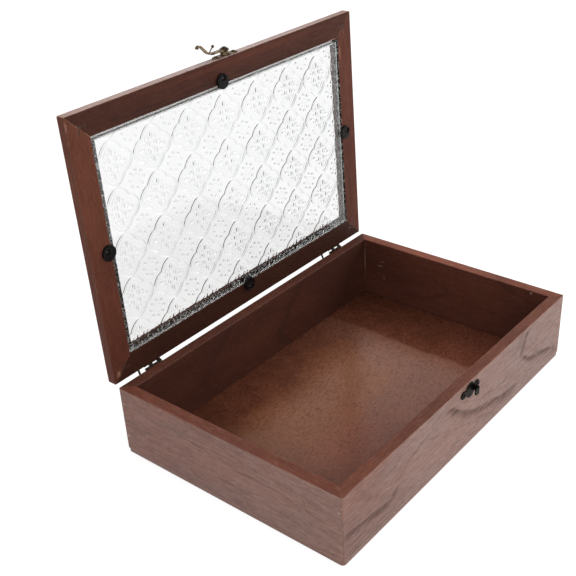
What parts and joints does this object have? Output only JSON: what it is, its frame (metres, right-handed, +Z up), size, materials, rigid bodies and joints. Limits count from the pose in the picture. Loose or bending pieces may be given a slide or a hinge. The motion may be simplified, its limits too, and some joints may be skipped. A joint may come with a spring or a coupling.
{
  "type": "jewelry box",
  "caption": "Rectangular wooden jewelry box standing open, with a hinged lid framing patterned glass, a swing-hook latch and its catch.",
  "frame": {"origin": "centre of the box's flat underside", "axes": "+Z up, +X along the hinge line, +Y towards the hinges and the open lid, so the catch faces -Y"},
  "size_m": [0.3, 0.2246, 0.2713],
  "materials": {
    "stained_wood": "worn satin stain",
    "patterned_glass": "embossed on one side",
    "hinge_bronze": "antique bronze plating",
    "latch_bronze": "antique bronze plating, rubbed",
    "brad_steel": "dull",
    "dark_screws": "dull",
    "black_rubber": "matt"
  },
  "bodies": {
    "box": {"box_front": "stained_wood", "box_back": "stained_wood", "box_left": "stained_wood", "box_right": "stained_wood", "box_bottom": "stained_wood", "corner_brads": "brad_steel", "bottom_brads": "brad_steel", "hinge_box_leaf_left": "hinge_bronze", "hinge_box_leaf_right": "hinge_bronze", "hinge_pins": "hinge_bronze", "hinge_box_screws": "hinge_bronze", "catch_plate": "latch_bronze", "catch_nose": "latch_bronze", "catch_screws": "latch_bronze"},
    "lid": {"lid_front_rail": "stained_wood", "lid_back_rail": "stained_wood", "lid_left_stile": "stained_wood", "lid_right_stile": "stained_wood", "lid_corner_nails": "brad_steel", "glass_pane": "patterned_glass", "retainer_left": "black_rubber", "retainer_right": "black_rubber", "retainer_front": "black_rubber", "retainer_back": "black_rubber", "retainer_screws": "dark_screws", "hinge_lid_leaf_left": "hinge_bronze", "hinge_lid_leaf_right": "hinge_bronze", "hinge_lid_screws": "hinge_bronze", "lid_stop_pins": "brad_steel", "latch_plate": "latch_bronze", "latch_rivet": "latch_bronze", "latch_screws": "latch_bronze"},
    "hook": {"latch_hook": "latch_bronze"}
  },
  "joints": [
    {"name": "lid_hinge", "type": "hinge", "parent": "box", "child": "lid", "pos_m": [0, 0.1019, 0.0565], "axis": [1, 0, 0], "range_deg": [0, 92]},
    {"name": "latch_swing", "type": "hinge", "parent": "lid", "child": "hook", "pos_m": [0.0023, 0.11399, 0.2581], "axis": [0, 0.0349, 0.9994], "range_deg": [-90, 90]}
  ]
}
